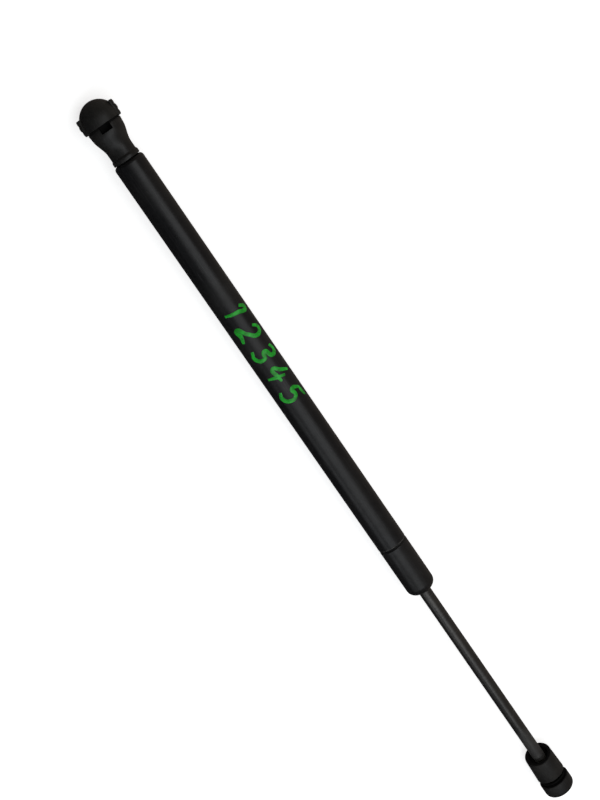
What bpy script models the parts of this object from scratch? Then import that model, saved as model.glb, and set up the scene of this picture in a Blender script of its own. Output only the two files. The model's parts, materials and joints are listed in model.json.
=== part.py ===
"""Gas spring strut with a ball socket at each end, as fitted to a bonnet or a tailgate.

The strut lies along X, the cylinder's end at -X and the rod's end at +X, on the rims of its two ball sockets,
which open downwards. Every piece is modelled about its own origin on the strut's axis, with its axis along X,
and is placed by a station: its distance along the strut from the centre of the cylinder end's ball.
Run with: blender --background --python part.py
"""

import math

import bmesh
import bpy
from mathutils import Matrix

# ---------------------------------------------------------------- driving sizes, in metres
BALL_TO_BALL = 0.500  # between the ball centres, with the rod fully out
TUBE_LENGTH = 0.3144
TUBE_RADIUS = 0.0090
TUBE_WALL = 0.00125
ROD_RADIUS = 0.0040
BALL_RADIUS = 0.0050  # of the ball stud that each socket takes
RIM_DEPTH = 0.0125  # from the strut's axis down to the socket's rim, which the strut lies on
GAP = 0.0003  # between pieces that touch on the real strut
RUNNING_GAP = 0.0002  # between the rod, the piston ring or the O-ring and what it runs or seals on
CUT_PAST = 0.0020  # how far a cutter runs past the surface that it cuts

# ---------------------------------------------------------------- the ball housing, the same at both ends
BALL_CLEARANCE = 0.0001
HOUSING_WALL = 0.0017  # round the ball, at the bottom of the clip's groove
RIM_WALL = 0.0023
RIM_CHAMFER = 0.0008
CLIP_WIRE_RADIUS = 0.0008
CLIP_LEG_HOLD = 0.0009  # how much of the ball's height lies below the legs' middle
CLIP_BEND = 0.0009
CLIP_GROOVE_PLAY = 0.0016

# ---------------------------------------------------------------- the cylinder end's socket and its cap
NECK_REACH = 0.0262  # from the ball's centre to the face on the cylinder
NECK_SHOULDER_STEP = 0.0010
NECK_SHOULDER_END = 0.0080
NECK_WAIST_RADIUS = 0.0077
NECK_WAIST_START = 0.0190
NECK_WAIST_END = 0.0230
NECK_LIP_RADIUS = 0.0083
NECK_LIP_CHAMFER = 0.0009
CAP_WALL = 0.0018
CAP_SKIRT = 0.0040  # from the ball's centre to the cap's edge
PRY_SLOT_WIDTH = 0.0070
PRY_SLOT_LENGTH = 0.0032
PRY_SLOT_DEPTH = 0.0040
GRIP_SPREAD = math.radians(26)  # each way from the side
GRIP_LENGTH = 0.0098
GRIP_PEAK = 0.0016  # the middle ridge's height over the cap
GRIP_END = 0.0001  # the outer ridges' height over the cap
GRIP_RIDGE_WIDTH = 0.0012
GRIP_NOTCH = 0.0005
GRIP_RIDGES = 3

# ---------------------------------------------------------------- the rod end's socket
ROD_SOCKET_REACH = 0.0200  # from its face on the rod to the ball's centre
ROD_SOCKET_START_RADIUS = 0.0088
ROD_SOCKET_BODY_STEP = 0.0005
ROD_SOCKET_HEAD_STEP = 0.0009
ROD_SOCKET_HEAD_REACH = 0.0115  # from the ball's centre to the end
ROD_SOCKET_HEAD_ROUND = 0.0032
ROD_SOCKET_FACE_ROUND = 0.0006
ROD_POCKET_WIDTH = 0.0020  # round the rod
ROD_POCKET_DEPTH = 0.0020

# ---------------------------------------------------------------- threads
THREAD_RADIUS = ROD_RADIUS
THREAD_DEPTH = 0.0006
THREAD_PITCH = 0.00125
STUD_IN_NECK = 0.0150
STUD_IN_PLUG = 0.0070
ROD_THREAD_LENGTH = 0.0110
ROD_CHAMFER = 0.0003

# ---------------------------------------------------------------- inside the cylinder
TUBE_LIP_GAP = 0.0007  # between the rod and the end rolled in round it
TUBE_BASE_ROUND = 0.0022
BEAD_HALF_WIDTH = 0.0010
BEAD_DEPTH = 0.0007
PLUG_LENGTH = 0.0100
PLUG_GROOVE_DEPTH = 0.00185
SUPPORT_WASHER_THICKNESS = 0.0015
SEAL_THICKNESS = 0.0060
SEAL_LIP_DEPTH = 0.0022
SEAL_LIP_WIDTH = 0.0007
BACKING_WASHER_THICKNESS = 0.0010
SPACER_LENGTH = 0.0090
SPACER_WALL = 0.0014
GUIDE_LENGTH = 0.0135
GUIDE_NOSE = 0.0026
GUIDE_END_GAP = 0.00195  # before the inside of the rolled end
GUIDE_LIP = 0.0004
WIPER_THICKNESS = 0.0022
WIPER_WIDTH = 0.0014

# ---------------------------------------------------------------- the piston
PISTON_LENGTH = 0.0080
PISTON_SHOULDER = 0.0015  # how far the rod's end is turned down to carry the piston
STOP_WASHER_THICKNESS = 0.0015
RIVET_WASHER_THICKNESS = 0.0012
RIVET_WASHER_WIDTH = 0.0012
PISTON_RING_WIDTH = 0.0020
PISTON_RING_WALL = 0.0012
METERING_HOLE_RADIUS = 0.0004
RIVET_HEAD_STEP = 0.0011
RIVET_HEAD_LENGTH = 0.0016

# ---------------------------------------------------------------- facets round each turned piece
TUBE_SIDES = 36
FITTING_SIDES = 32
INNER_SIDES = 24
CAVITY_SIDES = 20
THREAD_SIDES = 10
THREAD_RINGS_PER_PITCH = 3

# ---------------------------------------------------------------- radii that follow from those
SOCKET_RADIUS = BALL_RADIUS + BALL_CLEARANCE
RIM_RADIUS = SOCKET_RADIUS + RIM_WALL
GROOVE_RADIUS = SOCKET_RADIUS + HOUSING_WALL
GROOVE_WIDTH = 2 * CLIP_WIRE_RADIUS + CLIP_GROOVE_PLAY
CLIP_RADIUS = GROOVE_RADIUS + GAP + CLIP_WIRE_RADIUS  # of the middle of the wire
CLIP_LEG_DEPTH = BALL_RADIUS - CLIP_LEG_HOLD  # below the ball's centre
CLIP_LEG_TIP = math.sqrt(BALL_RADIUS**2 - (CLIP_LEG_DEPTH - CLIP_WIRE_RADIUS) ** 2)
CLIP_SWEEP = math.acos((CLIP_BEND - CLIP_LEG_DEPTH) / CLIP_RADIUS)  # each way from the top
SPIGOT_RADIUS = CLIP_RADIUS + CLIP_WIRE_RADIUS  # the part of the housing under the cap
CAP_RADIUS = SPIGOT_RADIUS + GAP + CAP_WALL
NECK_SHOULDER_RADIUS = SPIGOT_RADIUS + NECK_SHOULDER_STEP
ROD_SOCKET_BODY_RADIUS = SPIGOT_RADIUS + ROD_SOCKET_BODY_STEP
ROD_SOCKET_HEAD_RADIUS = SPIGOT_RADIUS + ROD_SOCKET_HEAD_STEP
ROD_POCKET_RADIUS = ROD_RADIUS + ROD_POCKET_WIDTH
BORE_RADIUS = TUBE_RADIUS - TUBE_WALL
PACKED_RADIUS = BORE_RADIUS - GAP  # of everything that fits in the cylinder's bore
ROD_BORE_RADIUS = ROD_RADIUS + RUNNING_GAP  # of everything that the rod runs in
PLUG_GROOVE_RADIUS = PACKED_RADIUS - PLUG_GROOVE_DEPTH
O_RING_WIRE_RADIUS = (BORE_RADIUS - PLUG_GROOVE_RADIUS) / 2 - RUNNING_GAP
THREAD_BORE_RADIUS = THREAD_RADIUS + GAP
WIPER_RADIUS = ROD_BORE_RADIUS + WIPER_WIDTH
PISTON_SPIGOT_RADIUS = ROD_RADIUS - PISTON_SHOULDER
SPIGOT_BORE_RADIUS = PISTON_SPIGOT_RADIUS + GAP
RIVET_WASHER_RADIUS = SPIGOT_BORE_RADIUS + RIVET_WASHER_WIDTH
PISTON_RING_RADIUS = BORE_RADIUS - RUNNING_GAP
PISTON_RING_BORE_RADIUS = PISTON_RING_RADIUS - PISTON_RING_WALL
PISTON_GROOVE_RADIUS = PISTON_RING_BORE_RADIUS - GAP
METERING_HOLE_OFFSET = (RIVET_WASHER_RADIUS + PISTON_GROOVE_RADIUS) / 2

# ---------------------------------------------------------------- stations along the strut
TUBE_START = NECK_REACH + GAP
TUBE_END = TUBE_START + TUBE_LENGTH
PLUG_START = TUBE_START + TUBE_WALL + GAP
GUIDE_START = TUBE_END - TUBE_WALL - GUIDE_END_GAP - GUIDE_LENGTH
WIPER_START = GUIDE_START + GUIDE_LENGTH - WIPER_THICKNESS
SPACER_START = GUIDE_START - GAP - SPACER_LENGTH
BACKING_WASHER_START = SPACER_START - GAP - BACKING_WASHER_THICKNESS
SEAL_START = BACKING_WASHER_START - GAP - SEAL_THICKNESS
SUPPORT_WASHER_START = SEAL_START - GAP - SUPPORT_WASHER_THICKNESS
BEAD = SUPPORT_WASHER_START - GAP - BEAD_HALF_WIDTH  # the middle of the bead that holds them all
STOP_WASHER_START = BEAD - BEAD_HALF_WIDTH - GAP - STOP_WASHER_THICKNESS  # the bead stops this washer
ROD_SHOULDER = STOP_WASHER_START + STOP_WASHER_THICKNESS + GAP
PISTON_START = STOP_WASHER_START - GAP - PISTON_LENGTH
PISTON_RING_START = PISTON_START + (PISTON_LENGTH - PISTON_RING_WIDTH) / 2
RIVET_WASHER_START = PISTON_START - GAP - RIVET_WASHER_THICKNESS
ROD_START = RIVET_WASHER_START - GAP - RIVET_HEAD_LENGTH
ROD_SOCKET_FACE = BALL_TO_BALL - ROD_SOCKET_REACH
OVERALL_MIDDLE = (BALL_TO_BALL + ROD_SOCKET_HEAD_REACH - CAP_RADIUS) / 2


# ---------------------------------------------------------------- tools
def clear_scene():
    for old in list(bpy.data.objects):
        bpy.data.objects.remove(old)


def material(name, colour, roughness, metallic):
    made = bpy.data.materials.new(name)
    made.use_nodes = True
    shader = made.node_tree.nodes["Principled BSDF"]
    shader.inputs["Base Color"].default_value = (*colour, 1)
    shader.inputs["Roughness"].default_value = roughness
    shader.inputs["Metallic"].default_value = metallic
    return made


def group(name, station, height, parent=None):
    """An empty on the strut's axis that pieces are parented to."""
    empty = bpy.data.objects.new(name, None)
    bpy.context.scene.collection.objects.link(empty)
    empty.location = (station, 0, height)
    empty.parent = parent
    return empty


def placed(name, mesh, parent, station, finish=None):
    """A named object for the mesh, its origin on the strut's axis at that station."""
    obj = bpy.data.objects.new(name, mesh)
    bpy.context.scene.collection.objects.link(obj)
    obj.parent = parent
    obj.location = (station, 0, 0)
    if finish:
        obj.data.materials.append(finish)
        if obj.type == "MESH":
            obj.data.shade_smooth()
            obj.data.set_sharp_from_angle(angle=math.radians(35))
    return obj


def arc(centre, radius, start, end, steps):
    """Points of an arc in a turned profile, as (along, outwards). 0 degrees is along, 90 degrees outwards."""
    turns = [math.radians(start + (end - start) * i / steps) for i in range(steps + 1)]
    return [(centre[0] + radius * math.cos(a), centre[1] + radius * math.sin(a)) for a in turns]


def spun(profile, sides, sweep=math.tau, middle=0.0):
    """The mesh of a profile of (along, outwards) points turned about X. A profile that starts and ends on the
    axis stays open there. A part turn is centred on the angle middle, measured from +Z towards -Y."""
    bm = bmesh.new()
    corners = [bm.verts.new((along, 0, outwards)) for along, outwards in profile]
    on_axis = profile[0][1] == 0 and profile[-1][1] == 0
    edges = [bm.edges.new(pair) for pair in zip(corners, corners[1:])]
    if not on_axis:
        edges.append(bm.edges.new((corners[-1], corners[0])))
    whole = sweep == math.tau
    if not whole:
        bmesh.ops.rotate(bm, verts=corners, matrix=Matrix.Rotation(middle - sweep / 2, 3, "X"))
        bm.faces.new(corners)
    made = bmesh.ops.spin(
        bm, geom=corners + edges, cent=(0, 0, 0), axis=(1, 0, 0), angle=sweep, steps=sides, use_merge=whole
    )
    if not whole:
        last = [e for e in made["geom_last"] if isinstance(e, bmesh.types.BMEdge)]
        bmesh.ops.edgeloop_fill(bm, edges=last)
    bmesh.ops.remove_doubles(bm, verts=bm.verts, dist=1e-7)
    return finished(bm)


def finished(bm):
    """The bmesh as a mesh with its faces pointing outwards."""
    bmesh.ops.recalc_face_normals(bm, faces=bm.faces)
    mesh = bpy.data.meshes.new("turned")
    bm.to_mesh(mesh)
    bm.free()
    return mesh


def block(low, high):
    """The mesh of a box between two corners."""
    bm = bmesh.new()
    bmesh.ops.create_cube(bm, size=1)
    for corner in bm.verts:
        corner.co = [low[k] if corner.co[k] < 0 else high[k] for k in range(3)]
    return finished(bm)


def combine(obj, operation, mesh, facing_down=False):
    """Joins the mesh to the object, or cuts it out, with a helper that shares the object's place."""
    helper = bpy.data.objects.new(f"{obj.name}_{operation.lower()}", mesh)
    bpy.context.scene.collection.objects.link(helper)
    helper.parent = obj.parent
    helper.location = obj.location
    if facing_down:
        helper.rotation_euler = (0, math.pi / 2, 0)
    helper.hide_render = True
    helper.display_type = "WIRE"
    boolean = obj.modifiers.new(operation.title(), "BOOLEAN")
    boolean.operation = operation
    boolean.object = helper
    boolean.solver = "EXACT"


def threaded_bar(length):
    """A threaded bar along +X: a column of rings, each point pulled in by where it lies on the helix."""
    bm = bmesh.new()
    step = THREAD_PITCH / THREAD_RINGS_PER_PITCH
    count = round(length / step)
    turned = bmesh.ops.create_circle(bm, segments=THREAD_SIDES, radius=THREAD_RADIUS)["verts"]
    for corner in turned:
        corner.co = (0, corner.co.x, corner.co.y)
    rim = list(bm.edges)
    for _ in range(count):
        new = bmesh.ops.extrude_edge_only(bm, edges=rim)["geom"]
        raised = [v for v in new if isinstance(v, bmesh.types.BMVert)]
        rim = [e for e in new if isinstance(e, bmesh.types.BMEdge) and set(e.verts) <= set(raised)]
        bmesh.ops.translate(bm, verts=raised, vec=(length / count, 0, 0))
    for corner in bm.verts:
        along, angle = corner.co.x, math.atan2(corner.co.z, corner.co.y)
        phase = (along / THREAD_PITCH - angle / math.tau) % 1
        ends = min(along, length - along) < step / 2
        pull = THREAD_DEPTH if ends else THREAD_DEPTH * (1 - abs(2 * phase - 1))
        corner.co.y *= 1 - pull / THREAD_RADIUS
        corner.co.z *= 1 - pull / THREAD_RADIUS
    bmesh.ops.holes_fill(bm, edges=[e for e in bm.edges if e.is_boundary])
    return finished(bm)


# ---------------------------------------------------------------- pieces of the cylinder
def cylinder_tube(parent, finish):
    """The pressure tube: rolled in over the plug at its base, and round the rod at its end, with one bead."""
    length, bead = TUBE_LENGTH, BEAD - TUBE_START
    end_round = TUBE_RADIUS - ROD_RADIUS
    inner_round = end_round - TUBE_WALL
    round_centre = (length - end_round, ROD_RADIUS)
    base_centre = (TUBE_BASE_ROUND, TUBE_RADIUS - TUBE_BASE_ROUND)
    base_inner = TUBE_BASE_ROUND - TUBE_WALL
    lip_outer = math.degrees(math.asin(TUBE_LIP_GAP / end_round))
    lip_inner = math.degrees(math.asin(TUBE_LIP_GAP / inner_round))
    outside = arc(base_centre, TUBE_BASE_ROUND, 180, 90, 3)
    outside += rolled_bead(bead, TUBE_RADIUS)
    outside += arc(round_centre, end_round, 90, lip_outer, 5)
    inside = arc(round_centre, inner_round, lip_inner, 90, 3)
    inside += rolled_bead(bead, BORE_RADIUS)[::-1]
    inside += arc(base_centre, base_inner, 90, 180, 2)
    return placed("cylinder_tube", spun(outside + inside, TUBE_SIDES), parent, TUBE_START, finish)


def rolled_bead(station, radius):
    """The bead's dip in a wall of that radius."""
    return [
        (station - BEAD_HALF_WIDTH, radius),
        (station - BEAD_HALF_WIDTH / 3, radius - BEAD_DEPTH),
        (station + BEAD_HALF_WIDTH / 3, radius - BEAD_DEPTH),
        (station + BEAD_HALF_WIDTH, radius),
    ]


def end_plug(parent, finish):
    """Closes the cylinder's base: a groove for the O-ring, and a blind bore for the stud."""
    base_round = TUBE_BASE_ROUND
    middle, half = PLUG_LENGTH / 2, O_RING_WIRE_RADIUS + GAP
    profile = [
        (STUD_IN_PLUG, 0),
        (STUD_IN_PLUG, THREAD_BORE_RADIUS),
        (0, THREAD_BORE_RADIUS),
        (0, PACKED_RADIUS - base_round / 2),
        (base_round / 2, PACKED_RADIUS),
        (middle - half, PACKED_RADIUS),
        (middle - half, PLUG_GROOVE_RADIUS),
        (middle + half, PLUG_GROOVE_RADIUS),
        (middle + half, PACKED_RADIUS),
        (PLUG_LENGTH, PACKED_RADIUS),
        (PLUG_LENGTH, 0),
    ]
    return placed("end_plug", spun(profile, INNER_SIDES), parent, PLUG_START, finish)


def plug_o_ring(parent, finish):
    """Seals the plug in the bore."""
    middle = (PLUG_GROOVE_RADIUS + BORE_RADIUS) / 2
    loop = arc((0, middle), O_RING_WIRE_RADIUS, 0, 360, 6)[:-1]
    return placed("plug_o_ring", spun(loop, INNER_SIDES), parent, PLUG_START + PLUG_LENGTH / 2, finish)


def base_stud(parent, finish):
    """Threaded stud from the plug into the socket's neck."""
    start, end = NECK_REACH - STUD_IN_NECK, PLUG_START + STUD_IN_PLUG - GAP
    return placed("base_stud", threaded_bar(end - start), parent, start, finish)


def ring(name, parent, finish, station, thickness, inner, outer=PACKED_RADIUS):
    """A plain washer or sleeve, which by default just fits in the cylinder's bore."""
    profile = [(0, inner), (thickness, inner), (thickness, outer), (0, outer)]
    return placed(name, spun(profile, INNER_SIDES), parent, station, finish)


def rod_seal(parent, finish):
    """Rubber lip seal. Its pressure side is hollowed, so that the gas presses its lips on rod and bore."""
    inner, outer, lip = ROD_BORE_RADIUS, PACKED_RADIUS, SEAL_LIP_WIDTH
    middle = (inner + outer) / 2
    profile = [
        (0, inner),
        (SEAL_THICKNESS, inner),
        (SEAL_THICKNESS, outer),
        (0, outer),
        (0, outer - lip),
        (SEAL_LIP_DEPTH, middle + lip / 2),
        (SEAL_LIP_DEPTH, middle - lip / 2),
        (0, inner + lip),
    ]
    return placed("rod_seal", spun(profile, INNER_SIDES), parent, SEAL_START, finish)


def rod_guide(parent, finish):
    """Guide bush that carries the rod at the cylinder's end, with a pocket for the wiper in its nose."""
    pocket = WIPER_RADIUS + GAP
    pocket_start = GUIDE_LENGTH - WIPER_THICKNESS - GAP
    profile = [
        (0, ROD_BORE_RADIUS),
        (pocket_start, ROD_BORE_RADIUS),
        (pocket_start, pocket),
        (GUIDE_LENGTH, pocket),
        (GUIDE_LENGTH, pocket + GUIDE_LIP),
        (GUIDE_LENGTH - GUIDE_NOSE, PACKED_RADIUS),
        (0, PACKED_RADIUS),
    ]
    return placed("rod_guide", spun(profile, INNER_SIDES), parent, GUIDE_START, finish)


def wiper_ring(parent, finish):
    """Keeps dirt off the seal: its lip leans out along the rod."""
    inner, thickness = ROD_BORE_RADIUS, WIPER_THICKNESS
    profile = [
        (0, inner + WIPER_WIDTH / 4),
        (thickness * 0.6, inner),
        (thickness, inner),
        (thickness * 0.7, WIPER_RADIUS),
        (0, WIPER_RADIUS),
    ]
    return placed("wiper_ring", spun(profile, INNER_SIDES), parent, WIPER_START, finish)


# ---------------------------------------------------------------- ball sockets
def make_ball_housing(obj, thread_start, thread_end):
    """Adds to a turned body what each socket has: the rim, the ball's seat, the clip's groove and slots, and
    the bore for the thread, whose two ends are given from the ball's centre."""
    rim = [(0, 0), (0, RIM_RADIUS), (RIM_DEPTH, RIM_RADIUS), (RIM_DEPTH, 0)]
    combine(obj, "UNION", spun(rim, FITTING_SIDES), facing_down=True)
    past = RIM_DEPTH + CUT_PAST
    seat = [(-SOCKET_RADIUS, 0)] + arc((0, 0), SOCKET_RADIUS, 180, 90, 7)[1:] + [
        (RIM_DEPTH - RIM_CHAMFER, SOCKET_RADIUS),
        (RIM_DEPTH, SOCKET_RADIUS + RIM_CHAMFER),
        (past, SOCKET_RADIUS + RIM_CHAMFER),
        (past, 0),
    ]
    combine(obj, "DIFFERENCE", spun(seat, CAVITY_SIDES), facing_down=True)
    bore = THREAD_BORE_RADIUS
    drilled = [(thread_start, 0), (thread_start, bore), (thread_end, bore), (thread_end, 0)]
    combine(obj, "DIFFERENCE", spun(drilled, CAVITY_SIDES))
    half, outside = GROOVE_WIDTH / 2, NECK_SHOULDER_RADIUS + CUT_PAST
    groove = [(-half, GROOVE_RADIUS), (half, GROOVE_RADIUS), (half, outside), (-half, outside)]
    combine(obj, "DIFFERENCE", spun(groove, FITTING_SIDES, 2 * CLIP_SWEEP + math.radians(10)))
    slot = CLIP_WIRE_RADIUS + GAP
    low = (-slot, -outside, -CLIP_LEG_DEPTH - slot)
    high = (slot, outside, -CLIP_LEG_DEPTH + slot)
    combine(obj, "DIFFERENCE", block(low, high))


def retaining_clip(name, parent, station, finish):
    """Wire clip round the ball housing. Its two legs go in through the slots and hook under the ball."""
    steps = 22
    angles = [CLIP_SWEEP * (2 * i / steps - 1) for i in range(steps + 1)]
    hoop = [(CLIP_RADIUS * math.sin(a), CLIP_RADIUS * math.cos(a)) for a in angles]
    knee = hoop[-1][0] - CLIP_BEND / 2
    leg = [(knee, -CLIP_LEG_DEPTH + CLIP_BEND / 4), (knee - CLIP_BEND, -CLIP_LEG_DEPTH)]
    leg.append((CLIP_LEG_TIP, -CLIP_LEG_DEPTH))
    route = [(-y, z) for y, z in leg[::-1]] + hoop + leg
    curve = bpy.data.curves.new(name, "CURVE")
    curve.dimensions = "3D"
    curve.bevel_depth = CLIP_WIRE_RADIUS
    curve.bevel_resolution = 2
    curve.use_fill_caps = True
    wire = curve.splines.new("POLY")
    wire.points.add(len(route) - 1)
    for point, (y, z) in zip(wire.points, route):
        point.co = (0, y, z, 1)
    return placed(name, curve, parent, station, finish)


def blend(start, end, steps):
    """Points of a smooth S between two points of a profile."""
    run, rise = end[0] - start[0], end[1] - start[1]
    turns = [math.pi * i / steps for i in range(steps + 1)]
    return [(start[0] + run * a / math.pi, start[1] + rise * (1 - math.cos(a)) / 2) for a in turns]


def tube_end_socket(parent, finish):
    """The socket on the cylinder: a waisted neck that ends in a ball housing, whose end the cap covers."""
    profile = [(-SPIGOT_RADIUS, 0)] + arc((0, 0), SPIGOT_RADIUS, 180, 90, 8)[1:]
    profile += [(CAP_SKIRT + GAP, SPIGOT_RADIUS), (CAP_SKIRT + GAP, NECK_SHOULDER_RADIUS)]
    profile += blend((NECK_SHOULDER_END, NECK_SHOULDER_RADIUS), (NECK_WAIST_START, NECK_WAIST_RADIUS), 8)
    lip_start = NECK_WAIST_END + NECK_LIP_CHAMFER
    profile += [(NECK_WAIST_END, NECK_WAIST_RADIUS), (lip_start, NECK_LIP_RADIUS)]
    profile += [(NECK_REACH, NECK_LIP_RADIUS), (NECK_REACH, 0)]
    socket = placed("tube_end_socket", spun(profile, FITTING_SIDES), parent, 0, finish)
    make_ball_housing(socket, NECK_REACH - STUD_IN_NECK - GAP, NECK_REACH + GAP)
    start = CAP_SKIRT + GAP
    low = (start - GAP, -PRY_SLOT_WIDTH / 2, NECK_SHOULDER_RADIUS - PRY_SLOT_DEPTH)
    high = (start + PRY_SLOT_LENGTH, PRY_SLOT_WIDTH / 2, NECK_SHOULDER_RADIUS + CUT_PAST)
    combine(socket, "DIFFERENCE", block(low, high))
    return socket


def tube_end_cap(parent, finish):
    """Domed cap snapped over the cylinder end's ball housing. It has a ribbed grip on each side, and a notch
    underneath that lets it slide on past the rim."""
    inner = CAP_RADIUS - CAP_WALL
    outside = [(-CAP_RADIUS, 0)] + arc((0, 0), CAP_RADIUS, 180, 90, 9)[1:] + [(CAP_SKIRT, CAP_RADIUS)]
    inside = [(CAP_SKIRT, inner)] + arc((0, 0), inner, 90, 180, 8)[:-1] + [(-inner, 0)]
    cap = placed("tube_end_cap", spun(outside + inside, FITTING_SIDES), parent, 0, finish)
    for side in (-1, 1):
        grip = spun(grip_profile(), 5, 2 * GRIP_SPREAD, side * math.pi / 2)
        combine(cap, "UNION", grip)
    notch = RIM_RADIUS + GAP
    past = CAP_RADIUS + CUT_PAST
    round_end = [(0, 0), (0, notch), (past, notch), (past, 0)]
    combine(cap, "DIFFERENCE", spun(round_end, FITTING_SIDES), facing_down=True)
    combine(cap, "DIFFERENCE", block((0, -notch, -past), (CAP_SKIRT + CUT_PAST, notch, 0)))
    return cap


def grip_profile():
    """Side view of a finger grip: three ridges on the cap's side, the middle one the highest."""
    start, sunk = CAP_SKIRT - GRIP_LENGTH, CAP_RADIUS - CAP_WALL / 2
    profile = [(start, math.sqrt(sunk**2 - start**2))]
    pitch = (GRIP_LENGTH - GRIP_RIDGE_WIDTH) / (GRIP_RIDGES - 1)
    for i in range(GRIP_RIDGES):
        share = 1 - abs(2 * i / (GRIP_RIDGES - 1) - 1)
        height = CAP_RADIUS + GRIP_END + (GRIP_PEAK - GRIP_END) * share
        crest = start + pitch * i
        profile += [(crest, height), (crest + GRIP_RIDGE_WIDTH, height)]
        if i < GRIP_RIDGES - 1:
            profile.append((crest + (pitch + GRIP_RIDGE_WIDTH) / 2, height - GRIP_NOTCH))
    return profile + [(CAP_SKIRT, sunk)]


def rod_end_socket(parent, finish):
    """The socket on the rod: a round body with a pocket round the rod, and a rounded head past the clip."""
    reach, head = -ROD_SOCKET_REACH, ROD_SOCKET_HEAD_REACH
    face_round, head_round = ROD_SOCKET_FACE_ROUND, ROD_SOCKET_HEAD_ROUND
    profile = [(reach + ROD_POCKET_DEPTH, 0), (reach + ROD_POCKET_DEPTH, ROD_POCKET_RADIUS)]
    profile += [(reach, ROD_POCKET_RADIUS)]
    profile += arc((reach + face_round, ROD_SOCKET_START_RADIUS - face_round), face_round, 180, 90, 4)
    profile += [(-GROOVE_WIDTH / 2, ROD_SOCKET_BODY_RADIUS), (GROOVE_WIDTH / 2, ROD_SOCKET_HEAD_RADIUS)]
    profile += arc((head - head_round, ROD_SOCKET_HEAD_RADIUS - head_round), head_round, 90, 12, 5)
    profile += [(head, 0)]
    socket = placed("rod_end_socket", spun(profile, FITTING_SIDES), parent, BALL_TO_BALL, finish)
    make_ball_housing(socket, reach - GAP, reach + ROD_THREAD_LENGTH + GAP)
    return socket


# ---------------------------------------------------------------- pieces on the rod
def piston_rod(parent, finish):
    """The rod: riveted over the piston at one end, threaded into the socket at the other."""
    shoulder, end = ROD_SHOULDER - ROD_START, ROD_SOCKET_FACE + ROD_POCKET_DEPTH - GAP - ROD_START
    head_round, head_radius = RIVET_HEAD_LENGTH / 2, PISTON_SPIGOT_RADIUS + RIVET_HEAD_STEP
    profile = [
        (0, 0),
        (0, head_radius - head_round),
        (head_round, head_radius),
        (RIVET_HEAD_LENGTH, head_radius),
        (RIVET_HEAD_LENGTH, PISTON_SPIGOT_RADIUS),
        (shoulder, PISTON_SPIGOT_RADIUS),
        (shoulder, ROD_RADIUS - ROD_CHAMFER),
        (shoulder + ROD_CHAMFER, ROD_RADIUS),
        (end - ROD_CHAMFER, ROD_RADIUS),
        (end, ROD_RADIUS - ROD_CHAMFER),
        (end, 0),
    ]
    rod = placed("piston_rod", spun(profile, INNER_SIDES), parent, ROD_START, finish)
    overlap = ROD_CHAMFER + GAP
    thread = threaded_bar(ROD_THREAD_LENGTH - ROD_POCKET_DEPTH + overlap)
    thread.transform(Matrix.Translation((end - overlap, 0, 0)))
    combine(rod, "UNION", thread)
    return rod


def piston(parent, finish):
    """The piston: a groove for its ring, and a small hole that meters the gas."""
    bore, radius = SPIGOT_BORE_RADIUS, PACKED_RADIUS - GAP
    middle, half = PISTON_LENGTH / 2, PISTON_RING_WIDTH / 2 + GAP
    profile = [
        (0, bore),
        (PISTON_LENGTH, bore),
        (PISTON_LENGTH, radius),
        (middle + half, radius),
        (middle + half, PISTON_GROOVE_RADIUS),
        (middle - half, PISTON_GROOVE_RADIUS),
        (middle - half, radius),
        (0, radius),
    ]
    made = placed("piston", spun(profile, INNER_SIDES), parent, PISTON_START, finish)
    drill_metering_hole(made, PISTON_LENGTH)
    return made


def drill_metering_hole(obj, length):
    """The hole runs on from the piston through the stop washer, past the edge of the rivet washer."""
    radius, end = METERING_HOLE_RADIUS, length + CUT_PAST
    drill = spun([(-CUT_PAST, 0), (-CUT_PAST, radius), (end, radius), (end, 0)], 8)
    drill.transform(Matrix.Translation((0, METERING_HOLE_OFFSET, 0)))
    combine(obj, "DIFFERENCE", drill)


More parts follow.
